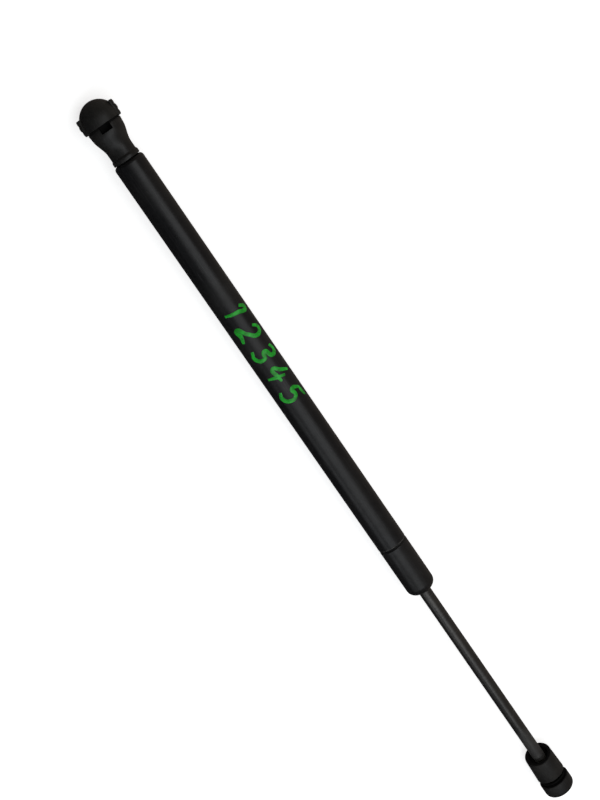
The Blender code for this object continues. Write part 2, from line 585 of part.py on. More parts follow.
def build():
    clear_scene()
    black_paint = material("black_paint", (0.018, 0.018, 0.020), 0.38, 0.0)
    black_nylon = material("black_nylon", (0.022, 0.022, 0.022), 0.55, 0.0)
    spring_wire = material("spring_wire", (0.10, 0.10, 0.10), 0.40, 1.0)
    black_rod = material("black_rod", (0.16, 0.155, 0.15), 0.30, 1.0)
    plain_steel = material("plain_steel", (0.45, 0.45, 0.46), 0.40, 1.0)
    black_rubber = material("black_rubber", (0.015, 0.015, 0.015), 0.80, 0.0)
    bronze = material("bronze", (0.55, 0.36, 0.16), 0.45, 1.0)
    acetal = material("acetal", (0.75, 0.74, 0.70), 0.50, 0.0)
    light_alloy = material("light_alloy", (0.70, 0.70, 0.72), 0.40, 1.0)

    strut = group("strut", -OVERALL_MIDDLE, RIM_DEPTH)
    cylinder = group("cylinder", 0, 0, strut)
    stroke = group("stroke", 0, 0, strut)
    rod = group("rod", 0, 0, stroke)

    tube_end_cap(cylinder, black_nylon)
    tube_end_socket(cylinder, black_nylon)
    retaining_clip("tube_end_clip", cylinder, 0, spring_wire)
    base_stud(cylinder, plain_steel)
    cylinder_tube(cylinder, black_paint)
    end_plug(cylinder, plain_steel)
    plug_o_ring(cylinder, black_rubber)

    support_sizes = SUPPORT_WASHER_THICKNESS, ROD_RADIUS + GAP
    ring("support_washer", cylinder, plain_steel, SUPPORT_WASHER_START, *support_sizes)
    rod_seal(cylinder, black_rubber)
    ring("backing_washer", cylinder, acetal, BACKING_WASHER_START, BACKING_WASHER_THICKNESS, ROD_BORE_RADIUS)
    ring("spacer_sleeve", cylinder, acetal, SPACER_START, SPACER_LENGTH, PACKED_RADIUS - SPACER_WALL)
    rod_guide(cylinder, bronze)
    wiper_ring(cylinder, black_rubber)

    ring_sizes = PISTON_RING_WIDTH, PISTON_RING_BORE_RADIUS, PISTON_RING_RADIUS
    ring("piston_ring", stroke, acetal, PISTON_RING_START, *ring_sizes)

    piston_rod(rod, black_rod)
    piston(rod, light_alloy)
    stop_sizes = STOP_WASHER_THICKNESS, SPIGOT_BORE_RADIUS
    stop = ring("stop_washer", rod, plain_steel, STOP_WASHER_START, *stop_sizes)
    drill_metering_hole(stop, STOP_WASHER_THICKNESS)
    rivet_sizes = RIVET_WASHER_THICKNESS, SPIGOT_BORE_RADIUS, RIVET_WASHER_RADIUS
    ring("rivet_washer", rod, plain_steel, RIVET_WASHER_START, *rivet_sizes)
    rod_end_socket(rod, black_nylon)
    retaining_clip("rod_end_clip", rod, BALL_TO_BALL, spring_wire)


build()
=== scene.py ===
"""The looks of a gas spring strut on a pale floor: painted tube, dark rod, two moulded ball sockets."""
import json
import math
import random

import bmesh
import bpy
from mathutils import Matrix, Vector


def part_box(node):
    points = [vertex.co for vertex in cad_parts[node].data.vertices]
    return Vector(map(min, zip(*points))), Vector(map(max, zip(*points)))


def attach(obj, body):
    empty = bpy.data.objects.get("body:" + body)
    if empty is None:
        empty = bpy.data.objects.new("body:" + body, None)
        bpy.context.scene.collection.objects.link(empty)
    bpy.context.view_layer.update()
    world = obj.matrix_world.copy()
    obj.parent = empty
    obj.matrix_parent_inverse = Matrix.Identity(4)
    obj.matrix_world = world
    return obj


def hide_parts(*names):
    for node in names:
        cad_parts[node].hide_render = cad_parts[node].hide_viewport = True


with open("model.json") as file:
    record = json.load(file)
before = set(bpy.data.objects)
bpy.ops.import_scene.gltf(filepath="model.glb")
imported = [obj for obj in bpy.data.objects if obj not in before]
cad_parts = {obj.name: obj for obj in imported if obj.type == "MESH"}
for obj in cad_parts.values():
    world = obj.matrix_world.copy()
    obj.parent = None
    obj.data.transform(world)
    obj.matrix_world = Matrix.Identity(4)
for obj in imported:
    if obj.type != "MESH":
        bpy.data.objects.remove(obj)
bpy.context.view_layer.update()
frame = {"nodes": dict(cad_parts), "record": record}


# ---------------------------------------------------------------- pressure tube
# Drawn steel tube, painted satin black. It is rolled in over the plug at its base and round the rod at its
# end, and one bead is rolled in where the seal package starts. The paint is thin on the bead and the edge.
tube_low, tube_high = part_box("cylinder_tube")
axis_z = (tube_low.z + tube_high.z) / 2
tube_proud = 0.0003
tube_radius = (tube_high.z - tube_low.z) / 2 + tube_proud
tube_wall = 0.00125
tube_base_round = 0.0022
tube_lip_gap = 0.0007
tube_lip_edge = 0.00025
tube_lip_round = 0.0003
tube_sides = 128
almost_half_turn = 178
weld = 1e-7
rod_low, rod_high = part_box("piston_rod")
rod_radius = (rod_high.z - rod_low.z) / 2
bead_to_washer = 0.0013
bead_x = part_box("support_washer")[0].x - bead_to_washer
bead_half = 0.0010
bead_depth = 0.0007
paint_black = (0.0062, 0.0063, 0.0074, 1)
paint_faded = (0.0105, 0.0100, 0.0098, 1)
paint_dust = (0.050, 0.048, 0.045, 1)
paint_scuff = (0.045, 0.045, 0.047, 1)
paint_rubbed = (0.16, 0.15, 0.14, 1)


def arc(centre, radius, start, end, steps):
    """Points of an arc as (along, outwards). 0 degrees is along the strut, 90 degrees outwards."""
    turns = [math.radians(start + (end - start) * i / steps) for i in range(steps + 1)]
    return [(centre[0] + radius * math.cos(a), centre[1] + radius * math.sin(a)) for a in turns]


def shown(name, bm, node=None, body=None):
    """The bmesh as a piece that takes a node's place, or that rides on a body."""
    mesh = bpy.data.meshes.new(name)
    bm.to_mesh(mesh)
    bm.free()
    piece = bpy.data.objects.new(name, mesh)
    bpy.context.scene.collection.objects.link(piece)
    if node:
        body = next(b for b, members in frame["record"]["behaviour"]["bodies"].items() if node in members)
        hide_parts(node)
    if body:
        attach(piece, body)
    return piece


def spun(profile, sides, hollow=True):
    """A bmesh turned round the strut's axis from points (x, outwards). A hollow one is closed to a loop."""
    bm = bmesh.new()
    corners = [bm.verts.new((x, 0, axis_z + out)) for x, out in profile]
    edges = [bm.edges.new(pair) for pair in zip(corners, corners[1:])]
    if hollow:
        edges.append(bm.edges.new((corners[-1], corners[0])))
    middle = (0, 0, axis_z)
    bmesh.ops.spin(
        bm, geom=corners + edges, cent=middle, axis=(1, 0, 0), angle=math.tau, steps=sides, use_merge=True
    )
    bmesh.ops.remove_doubles(bm, verts=bm.verts, dist=weld)
    bmesh.ops.recalc_face_normals(bm, faces=bm.faces)
    return bm


def smooth(piece, angle=32):
    """Shades the piece smooth, with its edges kept where faces meet more sharply than the angle."""
    piece.data.shade_smooth()
    piece.data.set_sharp_from_angle(angle=math.radians(angle))
    return piece


def evenly(start, end, step, hug=0.0002):
    """Points between two of a profile. The first and last hug its ends, so that the wall shades straight."""
    count = max(1, round(math.dist(start, end) / step))
    near = hug / math.dist(start, end)
    shares = [near] + [i / count for i in range(1, count)] + [1 - near]
    return [tuple(a + (b - a) * share for a, b in zip(start, end)) for share in shares]


def bead(x, radius, steps=10):
    """The rolled bead's dip, as smooth as the roller that made it."""
    places = [x + bead_half * (2 * i / steps - 1) for i in range(steps + 1)]
    return [(p, radius - bead_depth * (1 + math.cos(math.pi * (p - x) / bead_half)) / 2) for p in places]


def tube_profile():
    """From the base's rolled edge along the outside, round the rod's end, and back along the bore."""
    end_round = tube_radius - rod_radius
    inner_round = end_round - tube_wall
    end_centre = (tube_high.x - end_round, rod_radius)
    base_centre = (tube_low.x + tube_base_round, tube_radius - tube_base_round)
    bore = tube_radius - tube_wall
    lip_reach = tube_lip_gap + tube_lip_edge
    lip_outer = math.degrees(math.asin(lip_reach / end_round))
    lip_inner = math.degrees(math.asin(lip_reach / inner_round))
    outside = arc(base_centre, tube_base_round, almost_half_turn, 90, 10)
    outside += evenly((base_centre[0], tube_radius), (bead_x - bead_half, tube_radius), step=0.02)
    outside += bead(bead_x, tube_radius)
    outside += evenly((bead_x + bead_half, tube_radius), (end_centre[0], tube_radius), step=0.01)
    outside += arc(end_centre, end_round, 90, lip_outer, 18)
    lip_ends = (tube_high.x - tube_lip_round, tube_high.x - tube_wall + tube_lip_round)
    lip = [(x, rod_radius + tube_lip_gap) for x in lip_ends]
    inside = arc(end_centre, inner_round, lip_inner, 90, 12)
    inside += bead(bead_x, bore)[::-1]
    inside += arc(base_centre, tube_base_round - tube_wall, 90, almost_half_turn, 5)
    return outside + lip + inside


tube = smooth(shown("painted_tube", spun(tube_profile(), tube_sides), node="cylinder_tube"))


class Nodes:
    """A node tree written as a chain: each call adds a node, sets its values and returns its output."""

    def __init__(self, tree):
        self.tree = tree

    def add(self, kind, output=0, settings=None, **inputs):
        """Inputs go by name, with _ for a space, or by number, as in _0, and take a value or an output."""
        node = self.tree.nodes.new(kind)
        for name, value in (settings or {}).items():
            setattr(node, name, value)
        for name, value in inputs.items():
            key = int(name[1:]) if name[1:].isdigit() else name.replace("_", " ")
            if isinstance(value, bpy.types.NodeSocket):
                self.tree.links.new(value, node.inputs[key])
            else:
                node.inputs[key].default_value = value
        return node.outputs[output]

    def place(self, scale=(1, 1, 1), turn=(0, 0, 0), at=(0, 0, 0)):
        """Object coordinates, with the pattern stretched, turned or shifted."""
        where = self.add("ShaderNodeTexCoord", "Object")
        return self.add("ShaderNodeMapping", Vector=where, Scale=scale, Rotation=turn, Location=at)

    def noise(self, where, scale, detail=4.0, roughness=0.55):
        return self.add(
            "ShaderNodeTexNoise", 0, Vector=where, Scale=scale, Detail=detail, Roughness=roughness
        )

    def ramp(self, value, low, high, to_low=0.0, to_high=1.0):
        return self.add(
            "ShaderNodeMapRange", 0, Value=value, From_Min=low, From_Max=high, To_Min=to_low, To_Max=to_high
        )

    def maths(self, operation, first, second=0.0):
        return self.add("ShaderNodeMath", 0, {"operation": operation}, _0=first, _1=second)

    def mix(self, share, first, second):
        """A colour between two, by a share from 0 to 1."""
        settings = {"data_type": "RGBA", "clamp_factor": True}
        return self.add("ShaderNodeMix", 2, settings, _0=share, _6=first, _7=second)

    def bump(self, height, strength, distance, normal=None):
        made = self.add("ShaderNodeBump", 0, Height=height, Strength=strength, Distance=distance)
        if normal:
            self.tree.links.new(normal, made.node.inputs["Normal"])
        return made

    def effect(self, group, output, **inputs):
        """One output of an effect's group."""
        node = self.tree.nodes.new("ShaderNodeGroup")
        node.node_tree = group
        for name, value in inputs.items():
            node.inputs[name.replace("_", " ")].default_value = value
        return node.outputs[output]


def effect(name, inputs, outputs):
    """An empty effect: (group, its nodes, its inputs). Inputs are floats with a default."""
    group = bpy.data.node_groups.new(name, "ShaderNodeTree")
    for socket, value in inputs.items():
        made = group.interface.new_socket(socket, in_out="INPUT", socket_type="NodeSocketFloat")
        made.default_value = value
    for socket in outputs:
        group.interface.new_socket(socket, in_out="OUTPUT", socket_type="NodeSocketFloat")
    given = group.nodes.new("NodeGroupInput")
    return group, Nodes(group), given.outputs


def give_out(group, **values):
    """Ends an effect by linking what it gives to its outputs."""
    end = group.nodes.new("NodeGroupOutput")
    for name, value in values.items():
        group.links.new(value, end.inputs[name.replace("_", " ")])


def make_dust():
    """Dust and hand smudges: fine specks and soft patches, more of them on what faces up."""
    group, n, given = effect("dust", {"Amount": 0.5, "Patch size": 0.03}, ["Mask"])
    where = n.place()
    patch_scale = n.maths("DIVIDE", 1.0, given["Patch size"])
    patches = n.ramp(n.noise(where, patch_scale, 5.0, 0.6), 0.42, 0.78)
    specks = n.ramp(n.noise(where, 1900.0, 2.0, 0.7), 0.64, 0.74)
    up = n.add("ShaderNodeSeparateXYZ", 2, Vector=n.add("ShaderNodeTexCoord", "Normal"))
    facing = n.ramp(up, -0.3, 0.9, 0.25, 1.0)
    both = n.maths("ADD", n.maths("MULTIPLY", patches, 0.75), n.maths("MULTIPLY", specks, 0.8))
    mask = n.maths("MULTIPLY", n.maths("MULTIPLY", both, facing), given["Amount"])
    give_out(group, Mask=n.ramp(mask, 0.0, 1.0))
    return group


def make_scratches():
    """Short fine scratches that run mostly along the strut, as handling leaves them."""
    group, n, given = effect("scratches", {"Amount": 0.5, "Fineness": 900.0}, ["Mask"])
    lines = []
    for turn, length, seed in ((0.10, 14.0, 0.0), (-0.35, 22.0, 0.31), (0.9, 60.0, 0.77)):
        where = n.place(scale=(length / 900.0, 1, 1), turn=(0, 0, turn), at=(seed, seed, 0))
        fine = n.noise(where, given["Fineness"], 1.0, 0.5)
        lines.append(n.ramp(fine, 0.695, 0.73))
    all_lines = n.maths("MAXIMUM", n.maths("MAXIMUM", lines[0], lines[1]), lines[2])
    give_out(group, Mask=n.maths("MULTIPLY", all_lines, given["Amount"]))
    return group


def new_material(name, **constants):
    """A material with its Principled shader's plain values set: (material, its nodes, its shader)."""
    made = bpy.data.materials.new(name)
    made.use_nodes = True
    shader = made.node_tree.nodes["Principled BSDF"]
    for socket, value in constants.items():
        shader.inputs[socket.replace("_", " ")].default_value = value
    return made, Nodes(made.node_tree), shader


def feed(shader, **values):
    """Links what changes over the surface to the shader's inputs."""
    for socket, value in values.items():
        shader.id_data.links.new(value, shader.inputs[socket.replace("_", " ")])


def wear_near(n, x, reach, sharpness=2.2):
    """A mask that peaks at a place along the strut, broken up by noise."""
    along = n.add("ShaderNodeSeparateXYZ", 0, Vector=n.add("ShaderNodeTexCoord", "Object"))
    far = n.maths("ABSOLUTE", n.maths("SUBTRACT", along, x))
    near = n.ramp(far, 0.0, reach, 1.0, 0.0)
    broken = n.noise(n.place(), 900.0, 5.0, 0.65)
    return n.ramp(n.maths("MULTIPLY", near, n.maths("MULTIPLY", broken, sharpness)), 0.72, 0.95)


dust = make_dust()
scratches = make_scratches()


def satin_paint():
    """Sprayed over drawn steel: faint draw lines, orange peel, dust and scuffs, and steel rubbed bare."""
    made, n, shader = new_material("satin_black_paint", Specular_IOR_Level=0.27, Metallic=0.0)
    dusty = n.effect(dust, "Mask", Amount=0.55, Patch_size=0.035)
    scuffed = n.effect(scratches, "Mask", Amount=0.5, Fineness=1500.0)
    drawn = n.noise(n.place(scale=(0.006, 1, 1)), 2600.0, 3.0, 0.6)
    cloud = n.noise(n.place(), 55.0, 4.0, 0.6)
    base = n.mix(n.ramp(cloud, 0.35, 0.7, 0.0, 0.35), paint_black, paint_faded)
    base = n.mix(n.maths("MULTIPLY", dusty, 0.5), base, paint_dust)
    base = n.mix(n.maths("MULTIPLY", scuffed, 0.5), base, paint_scuff)
    bead_wear = wear_near(n, bead_x - bead_half, reach=0.0007)
    end_wear = wear_near(n, tube_high.x, reach=0.0011)
    worn = n.maths("MAXIMUM", bead_wear, end_wear)
    base = n.mix(n.maths("MULTIPLY", worn, 0.55), base, paint_rubbed)
    rough = n.ramp(n.noise(n.place(), 160.0, 5.0, 0.6), 0.3, 0.7, 0.27, 0.36)
    rough = n.maths("ADD", rough, n.maths("MULTIPLY", dusty, 0.20))
    peel = n.noise(n.place(), 950.0, 2.0, 0.4)
    relief = n.bump(peel, 0.16, 0.00012, n.bump(drawn, 0.10, 0.00006))
    feed(shader, Base_Color=base, Roughness=rough, Normal=relief)
    return made


tube.data.materials.append(satin_paint())


# ---------------------------------------------------------------- hand-drawn marks
# Plain numbers, 1 to 5, drawn on the tube with a green paint pen, as a yard marks its stock. The paint is
# thick and slightly glossy, its width changes with the pen's pressure, and each stroke has round ends.
mark_first_x = tube_low.x + 0.1034
mark_pitch = 0.0147
mark_side = 0.0018
mark_height = 0.0138
mark_width = 0.86
mark_lean = 0.16
mark_thickness = 0.00011
mark_pen = 0.00114
mark_weld = 1e-6
press_at_ends = (0.62, 0.78)
press_between = (0.92, 1.22)
pen_green = (0.007, 0.62, 0.026, 1)
pen_green_thin = (0.001, 0.30, 0.008, 1)
pen_green_dry = (0.002, 0.085, 0.008, 1)
# Each number's strokes, as points (across, up) in shares of its height from its middle.
mark_strokes = (
    (((-0.22, 0.26), (0.02, 0.50), (0.06, 0.02), (0.02, -0.52)),),
    (
        (
            (-0.30, 0.26), (-0.04, 0.50), (0.26, 0.22), (-0.02, -0.16),
            (-0.34, -0.47), (0.02, -0.44), (0.38, -0.52),
        ),
    ),
    (
        (
            (-0.28, 0.42), (0.08, 0.50), (0.24, 0.24), (-0.08, 0.04),
            (0.27, -0.16), (0.10, -0.50), (-0.32, -0.42),
        ),
    ),
    (
        ((0.02, 0.52), (-0.16, 0.16), (-0.34, -0.12), (0.02, -0.12), (0.40, -0.06)),
        ((0.18, 0.22), (0.12, -0.16), (0.08, -0.54)),
    ),
    (
        ((-0.18, 0.46), (-0.24, 0.10), (0.10, 0.10), (0.28, -0.18), (0.04, -0.50), (-0.32, -0.42)),
        ((-0.20, 0.46), (0.06, 0.48), (0.34, 0.54)),
    ),
)


def swept(curve, within):
    """A curve with a bevel as a bmesh, with points that lie this close made one."""
    rolled = bpy.data.objects.new(curve.name, curve)
    bpy.context.scene.collection.objects.link(rolled)
    graph = bpy.context.evaluated_depsgraph_get()
    mesh = bpy.data.meshes.new_from_object(rolled.evaluated_get(graph))
    bpy.data.objects.remove(rolled)
    bm = bmesh.new()
    bm.from_mesh(mesh)
    bpy.data.meshes.remove(mesh)
    bmesh.ops.remove_doubles(bm, verts=bm.verts, dist=within)
    return bm


def pen_stroke(points, seed):
    """One stroke laid flat: a tube swept along the pen's path, pressed to the thickness of wet paint."""
    curve = bpy.data.curves.new("stroke", "CURVE")
    curve.dimensions = "3D"
    curve.bevel_depth = mark_pen
    curve.bevel_resolution = 5
    curve.resolution_u = 14
    curve.use_fill_caps = True
    path = curve.splines.new("BEZIER")
    path.bezier_points.add(len(points) - 1)
    press = random.Random(seed)
    for i, (point, (across, up)) in enumerate(zip(path.bezier_points, points)):
        lean = across + up * mark_lean
        point.co = (lean * mark_height * mark_width, up * mark_height, 0)
        point.handle_left_type = point.handle_right_type = "AUTO"
        at_end = i in (0, len(points) - 1)
        point.radius = press.uniform(*(press_at_ends if at_end else press_between))
    bm = swept(curve, mark_weld)
    round_off_ends(bm)
    for corner in bm.verts:
        corner.co.z *= mark_thickness / mark_pen
    bmesh.ops.recalc_face_normals(bm, faces=bm.faces)
    return bm


def round_off_ends(bm):
    """Pulls each flat cap of the swept stroke out into a round end."""
    for cap in [face for face in bm.faces if len(face.verts) > 4]:
        outwards = cap.normal.copy()
        size = max((corner.co - cap.calc_center_median()).length for corner in cap.verts)
        for reach, narrower in ((0.45, 0.88), (0.35, 0.62), (0.16, 0.40)):
            grown = bmesh.ops.extrude_discrete_faces(bm, faces=[cap])["faces"]
            cap = grown[0]
            middle = cap.calc_center_median()
            for corner in cap.verts:
                corner.co = middle + (corner.co - middle) * narrower + outwards * size * reach


def lay_on_tube(bm, x):
    """Wraps flat marks round the top of the tube, sunk by half into its paint."""
    for corner in bm.verts:
        turn = (corner.co.y + mark_side) / tube_radius
        out = tube_radius + corner.co.z
        corner.co = (x + corner.co.x, out * math.sin(turn), axis_z + out * math.cos(turn))


def hand_marks():
    """All the strokes in one bmesh, each drawn flat and laid on the tube."""
    whole = bmesh.new()
    for number, strokes in enumerate(mark_strokes):
        for stroke, points in enumerate(strokes):
            bm = pen_stroke(points, seed=10 * number + stroke)
            lay_on_tube(bm, mark_first_x + mark_pitch * number)
            part = bpy.data.meshes.new("part")
            bm.to_mesh(part)
            bm.free()
            whole.from_mesh(part)
            bpy.data.meshes.remove(part)
    return whole


def pen_paint():
    """Opaque green where it pooled, thinner and darker where the felt dragged it dry."""
    made, n, shader = new_material(
        "green_pen_paint", Specular_IOR_Level=0.35, Coat_Weight=0.2, Coat_Roughness=0.22
    )
    drag = n.noise(n.place(scale=(1, 0.35, 1)), 900.0, 5.0, 0.65)
    pool = n.noise(n.place(), 330.0, 3.0, 0.5)
    base = n.mix(n.ramp(pool, 0.35, 0.68), pen_green_thin, pen_green)
    base = n.mix(n.ramp(drag, 0.54, 0.70, 0.0, 0.8), base, pen_green_dry)
    rough = n.ramp(drag, 0.3, 0.7, 0.38, 0.55)
    feed(shader, Base_Color=base, Roughness=rough, Normal=n.bump(drag, 0.3, 0.0001))
    return made


marks = smooth(shown("hand_drawn_marks", hand_marks(), body="cylinder"), angle=60)
marks.data.materials.append(pen_paint())


# ---------------------------------------------------------------- neck and ball housing of the tube's end
# One nylon moulding, screwed on the tube's stud: a waisted neck with a lip on the tube, a shoulder that ends
# in a rebate at the cap's edge, and round the ball a housing whose mouth faces down. A wire clip lies in a
# groove round the housing, and a pry slot opens under the cap's edge.
ball_seats = {seat["name"]: seat["box_m"] for seat in frame["record"]["physics"]["openings"]}


def ball_centre(name):
    """Where the middle of a ball's seat lies along the strut."""
    low, high = ball_seats[name]
    return (low[0] + high[0]) / 2


tube_ball_x = ball_centre("tube_end_ball_seat")
ball_seat_radius = 0.0051
rim_radius = 0.0074
rim_round = 0.0005
rim_chamfer = 0.0008
groove_radius = 0.0068
groove_half = 0.0016
groove_chamfer = 0.0004
groove_past_clip = math.radians(10)
spigot_radius = 0.0087
clip_sweep = math.radians(114)
clip_leg_depth = 0.0041
clip_slot_half = 0.0011
thread_bore = 0.0043
neck_reach = 0.0262
neck_thread = 0.0153
skirt_reach = 0.0030
skirt_clearance = 0.00003
rebate_radius = 0.01018
shoulder_reach = 0.0043
shoulder_radius = 0.0105
shoulder_end = 0.0070
waist_start = 0.0190
waist_end = 0.0226
waist_radius = 0.0077
lip_start = 0.0243
lip_radius = 0.00835
moulded_edge = 0.0003
pry_slot_top = 0.0097
pry_slot_half = 0.0035
pry_slot_end = 0.0075
pry_slot_depth = 0.0046
gap = 0.0003
cutter_past = 0.002
housing_sides = 96
mouth_sides = 64
bore_sides = 48
nylon_grain = 2600.0
nylon_black = (0.0080, 0.0080, 0.0082, 1)
nylon_dust = (0.060, 0.055, 0.048, 1)
nylon_scuff = (0.055, 0.055, 0.055, 1)
neck_tint = (0.0110, 0.0106, 0.0104, 1)
# Near black that stands for the shade in recesses: painted shade.
painted_shade_black = (0.0015, 0.0014, 0.0013, 1)


def facing_down(bm, x):
    """Turns a shape made along the strut so that it points down from the ball's centre."""
    bmesh.ops.translate(bm, verts=bm.verts, vec=(0, 0, -axis_z))
    bmesh.ops.rotate(bm, verts=bm.verts, cent=(0, 0, 0), matrix=Matrix.Rotation(math.pi / 2, 3, "Y"))
    bmesh.ops.translate(bm, verts=bm.verts, vec=(x, 0, axis_z))
    return bm


def block(low, high):
    """A plain cutting block between two corners."""
    bm = bmesh.new()
    bmesh.ops.create_cube(bm, size=1)
    for corner in bm.verts:
        corner.co = [low[k] if corner.co[k] < 0 else high[k] for k in range(3)]
    return bm


def combine(piece, operation, tool):
    """Joins the bmesh tool to the piece, or cuts it out of it."""
    mesh = bpy.data.meshes.new("tool")
    tool.to_mesh(mesh)
    tool.free()
    cutter = bpy.data.objects.new("tool", mesh)
    bpy.context.scene.collection.objects.link(cutter)
    step = piece.modifiers.new("step", "BOOLEAN")
    step.operation, step.object, step.solver = operation, cutter, "EXACT"
    graph = bpy.context.evaluated_depsgraph_get()
    result = bpy.data.meshes.new_from_object(piece.evaluated_get(graph))
    piece.modifiers.clear()
    old, piece.data = piece.data, result
    bpy.data.meshes.remove(old)
    bpy.data.objects.remove(cutter)
    bpy.data.meshes.remove(mesh)


def groove_tool(x, half):
    """The clip's groove: a ring cut down to the housing's wall, over the top and both sides."""
    bm = bmesh.new()
    outside = spigot_radius + 2 * cutter_past
    corners = [(-half, groove_radius + groove_chamfer), (-half + groove_chamfer, groove_radius)]
    corners += [(half - groove_chamfer, groove_radius), (half, groove_radius + groove_chamfer)]
    corners += [(half, outside), (-half, outside)]
    loop = [bm.verts.new((x + along, 0, out)) for along, out in corners]
    sweep = 2 * clip_sweep + groove_past_clip
    bmesh.ops.rotate(bm, verts=loop, cent=(0, 0, 0), matrix=Matrix.Rotation(-sweep / 2, 3, "X"))
    face = bm.faces.new(loop)
    bmesh.ops.spin(
        bm, geom=[face], cent=(0, 0, 0), axis=(1, 0, 0), angle=sweep, steps=72, use_merge=False
    )
    bmesh.ops.translate(bm, verts=bm.verts, vec=(0, 0, axis_z))
    bmesh.ops.recalc_face_normals(bm, faces=bm.faces)
    return bm


def ball_housing(piece, x, bore_start, bore_end, groove):
    """What both sockets share: the rim, the ball's seat, the clip's groove and slots, the thread's bore."""
    rim = [(0, 0), (0, rim_radius)] + arc((axis_z - rim_round, rim_radius - rim_round), rim_round, 90, 0, 4)
    combine(piece, "UNION", facing_down(spun(rim + [(axis_z, 0)], mouth_sides, hollow=False), x))
    seat = [(-ball_seat_radius, 0)] + arc((0, 0), ball_seat_radius, 180, 90, 12)[1:]
    mouth, below = ball_seat_radius + rim_chamfer, axis_z + cutter_past
    seat += [(axis_z - rim_chamfer, ball_seat_radius), (axis_z, mouth), (below, mouth), (below, 0)]
    combine(piece, "DIFFERENCE", facing_down(spun(seat, mouth_sides, hollow=False), x))
    combine(piece, "DIFFERENCE", groove)
    side, depth = spigot_radius + 2 * cutter_past, axis_z - clip_leg_depth
    low = (x - clip_slot_half, -side, depth - clip_slot_half)
    combine(piece, "DIFFERENCE", block(low, (x + clip_slot_half, side, depth + clip_slot_half)))
    drilled = [(bore_start, 0), (bore_start, thread_bore), (bore_end, thread_bore), (bore_end, 0)]
    combine(piece, "DIFFERENCE", spun(drilled, bore_sides, hollow=False))


def blend(start, end, steps):
    """Points of a smooth S between two points of a profile."""
    run, rise = end[0] - start[0], end[1] - start[1]
    turns = [math.pi * i / steps for i in range(steps + 1)]
    return [(start[0] + run * a / math.pi, start[1] + rise * (1 - math.cos(a)) / 2) for a in turns]


def neck_profile():
    """From the ball housing's round end over the shoulder and the waist to the lip on the tube."""
    x, edge = tube_ball_x, moulded_edge
    step = x + skirt_reach + skirt_clearance
    profile = [(x - spigot_radius, 0)] + arc((x, 0), spigot_radius, 180, 90, 20)[1:]
    profile += [(step, spigot_radius), (step, rebate_radius), (x + shoulder_reach, rebate_radius)]
    profile += arc((x + shoulder_reach + edge, shoulder_radius - edge), edge, 180, 90, 3)
    profile += blend((x + shoulder_end, shoulder_radius - edge), (x + waist_start, waist_radius), 20)
    profile += blend((x + waist_end, waist_radius), (x + lip_start, lip_radius), 6)
    profile += arc((x + neck_reach - edge, lip_radius - edge), edge, 90, 0, 3)
    return profile + [(x + neck_reach, 0)]


def make_neck():
    """The turned shape with its ball housing, then the pry slot cut in behind the cap's edge."""
    turned = spun(neck_profile(), housing_sides, hollow=False)
    piece = shown("neck_and_ball_housing", turned, node="tube_end_socket")
    end = tube_ball_x + neck_reach
    ball_housing(piece, tube_ball_x, end - neck_thread, end + gap, groove_tool(tube_ball_x, groove_half))
    top = axis_z + pry_slot_top
    low = (tube_ball_x + skirt_reach, -pry_slot_half, top - pry_slot_depth)
    high = (tube_ball_x + pry_slot_end, pry_slot_half, top + cutter_past)
    combine(piece, "DIFFERENCE", block(low, high))
    return smooth(piece)


def make_grain():
    """The fine leathery grain of a spark-eroded mould, with the flow of the nylon under it."""
    group, n, given = effect("moulded_grain", {"Grain": 2400.0}, ["Height", "Tone"])
    where = n.place()
    cells = n.add("ShaderNodeTexVoronoi", "Distance", Vector=where, Scale=given["Grain"])
    fine = n.noise(where, given["Grain"], 3.0, 0.6)
    flow = n.noise(n.place(scale=(0.35, 1, 1)), 140.0, 4.0, 0.55)
    height = n.maths("ADD", n.maths("MULTIPLY", cells, 0.6), n.maths("MULTIPLY", fine, 0.7))
    give_out(group, Height=height, Tone=flow)
    return group


grain = make_grain()


def make_painted_recess_shade():
    """Painted shade: a mask that blackens what lies inside a radius of the axis, between two places along it.
    """
    inputs = {"Start": 0.0, "End": 0.0, "Radius": 0.0, "Axis height": 0.0}
    group, n, given = effect("painted_recess_shade", inputs, ["Mask"])
    where = n.add("ShaderNodeTexCoord", "Object").node.outputs["Object"]
    split = n.add("ShaderNodeSeparateXYZ", 0, Vector=where).node.outputs
    height = n.maths("SUBTRACT", split[2], given["Axis height"])
    squares = n.maths("ADD", n.maths("POWER", split[1], 2.0), n.maths("POWER", height, 2.0))
    out = n.maths("POWER", squares, 0.5)
    smear = n.ramp(n.noise(where, 1300.0, 3.0, 0.6), 0.3, 0.7, -0.0001, 0.0001)
    inside = n.maths("LESS_THAN", n.maths("ADD", out, smear), given["Radius"])
    past_start = n.maths("GREATER_THAN", split[0], given["Start"])
    before_end = n.maths("LESS_THAN", split[0], given["End"])
    along = n.maths("MULTIPLY", past_start, before_end)
    give_out(group, Mask=n.maths("MULTIPLY", inside, along))
    return group


painted_recess_shade = make_painted_recess_shade()


